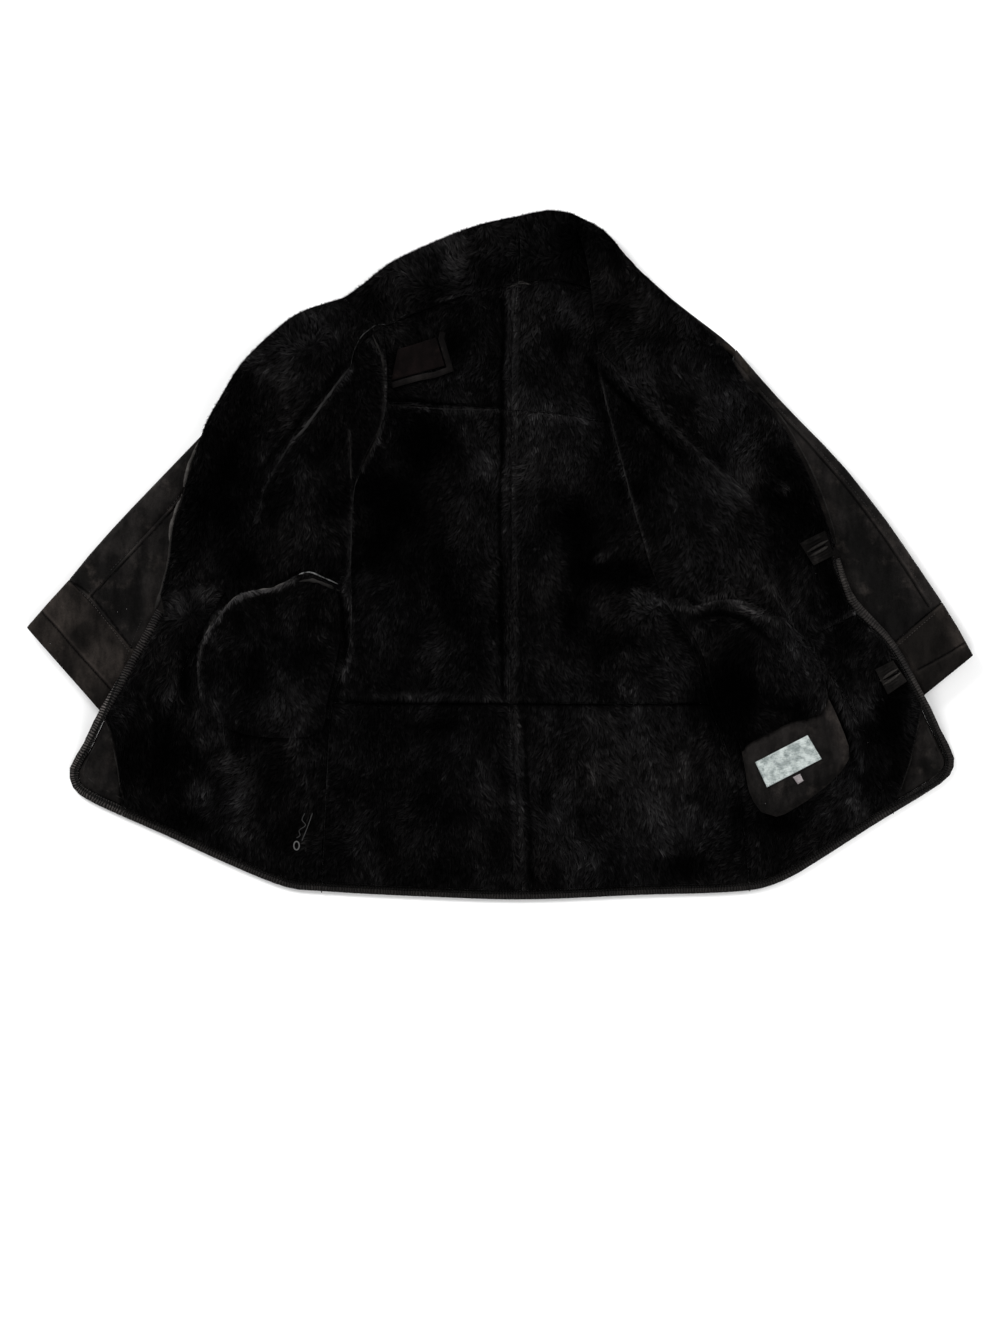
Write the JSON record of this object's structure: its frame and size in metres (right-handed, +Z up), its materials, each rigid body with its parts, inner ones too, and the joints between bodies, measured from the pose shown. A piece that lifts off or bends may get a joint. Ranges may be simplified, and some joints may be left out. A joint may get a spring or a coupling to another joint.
{
  "type": "sheepskin coat",
  "caption": "Sheepskin coat laid open on its back, fur side up: six-panel back, turned-out fronts, collar, flattened sleeves with cuff bands, pocket bags and bound edges.",
  "frame": {"origin": "on the surface that the coat lies on, under the middle of its outline", "axes": "+X towards the viewer's right, +Y towards the collar, +Z up out of the fur"},
  "size_m": [1.256, 0.9158, 0.0396],
  "materials": {
    "fur": "black sheepskin pile, soft sheen on its crests",
    "suede": "worn brown-black suede",
    "binding": "brown-black leather, slightly wrinkled",
    "patch": "dark reddish-brown suede",
    "label": "pale satin, bare",
    "metal": "plain steel wire"
  },
  "bodies": {
    "root": {"back_yoke_left": "fur", "back_yoke_right": "fur", "back_middle_left": "fur", "back_middle_right": "fur", "back_lower_left": "fur", "back_lower_right": "fur", "collar_left": "fur", "collar_right": "fur", "front_left_edge": "fur", "front_left_body": "fur", "front_right_edge_upper": "fur", "front_right_edge_lower": "fur", "front_right_body": "fur", "corner_facing_left": "suede", "corner_facing_right": "suede", "pocket_bag_left": "fur", "pocket_bag_right_fur": "fur", "pocket_bag_right_suede": "suede", "front_binding_left": "binding", "front_binding_right": "binding", "hem_binding_left": "binding", "hem_binding_back": "binding", "hem_binding_right": "binding", "sleeve_left_under": "suede", "sleeve_left_upper": "suede", "sleeve_right_under": "suede", "sleeve_right_upper": "suede", "cuff_band_left": "suede", "cuff_band_right": "suede", "buttonhole_patch_upper": "suede", "buttonhole_patch_lower": "suede", "neck_patch": "patch", "neck_patch_rim": "patch", "care_label": "label", "size_tab": "label", "thread_ring": "metal"}
  },
  "joints": []
}
